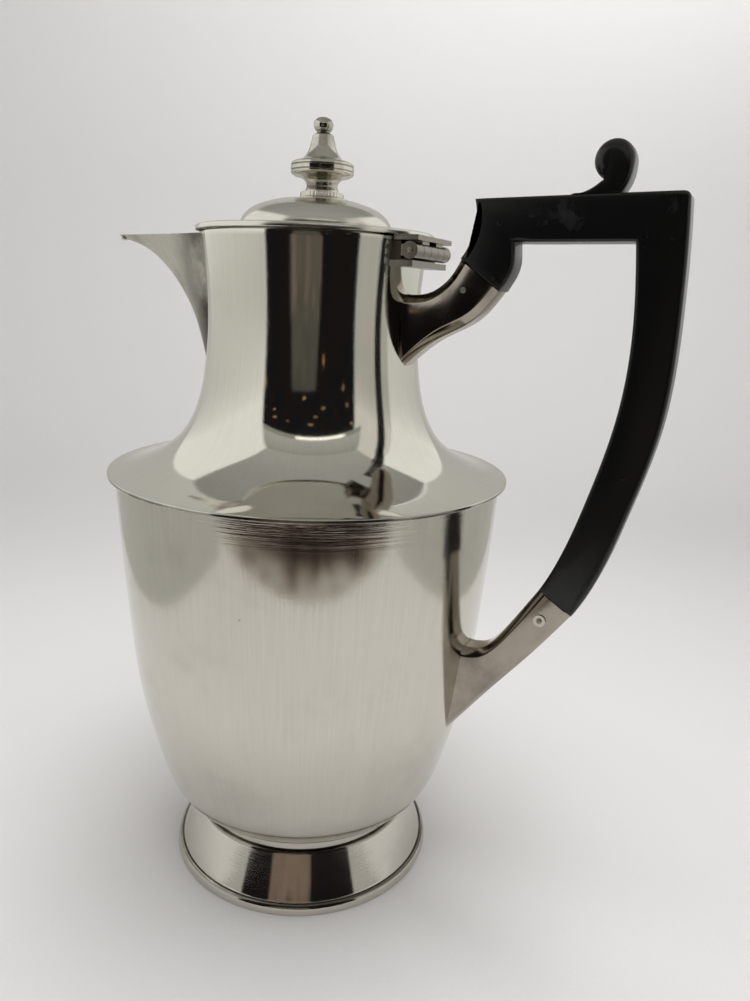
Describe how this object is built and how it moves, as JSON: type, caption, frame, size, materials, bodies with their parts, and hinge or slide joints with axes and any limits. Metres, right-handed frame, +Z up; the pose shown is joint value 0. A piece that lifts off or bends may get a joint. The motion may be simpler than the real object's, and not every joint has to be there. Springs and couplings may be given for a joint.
{
  "type": "hot-water jug",
  "caption": "Tall silver-plated hot-water jug with a waisted neck, open beak spout, hinged domed lid with turned finial, flared foot and black side handle with thumb scroll.",
  "frame": {"origin": "centre of the foot's underside, on the table", "axes": "+Z up along the jug's axis, +X towards the handle, -X towards the spout, the hinge pin lies along Y"},
  "size_m": [0.1721, 0.1184, 0.225],
  "materials": {
    "silver_body": "bright silver plate with fine wear scratches",
    "silver_foot": "bright silver plate with tarnish in the grooves",
    "silver_spout": "silver plate, satin and slightly tarnished",
    "silver_fittings": "silver plate with brown tarnish at the seams",
    "silver_hinge": "worn silver plate, darkened between the knuckles",
    "silver_lid": "bright silver plate",
    "silver_finial": "turned silver-plated metal, tarnished in its grooves",
    "rivet_wire": "dull plated wire",
    "pin_wire": "dull wire, ends darkened",
    "black_wood": "ebonised hardwood, semi-gloss with rubbed edges"
  },
  "bodies": {
    "pot": {"lower_body": "silver_body", "shoulder_and_neck": "silver_body", "mouth_ring": "silver_fittings", "spout": "silver_spout", "foot_collar": "silver_foot", "foot": "silver_foot", "foot_rim": "silver_foot", "upper_socket": "silver_fittings", "lower_socket": "silver_fittings", "upper_handle_rivet": "rivet_wire", "lower_handle_rivet": "rivet_wire", "lower_rivet_rings": "silver_fittings", "handle": "black_wood", "hinge_bracket": "silver_fittings", "pot_hinge_leaf": "silver_fittings", "pot_knuckles": "silver_hinge", "hinge_pin": "pin_wire"},
    "lid_body": {"lid": "silver_lid", "lid_bezel": "silver_lid", "lid_hinge_leaf": "silver_fittings", "lid_knuckles": "silver_hinge", "finial_collar": "silver_finial", "finial": "silver_finial", "finial_stud": "pin_wire", "finial_washer": "silver_fittings", "finial_nut": "silver_fittings"}
  },
  "joints": [
    {"name": "lid_hinge", "type": "hinge", "parent": "pot", "child": "lid_body", "pos_m": [0.0344, 0, 0.1902], "axis": [0, 1, 0], "range_deg": [0, 95]}
  ]
}
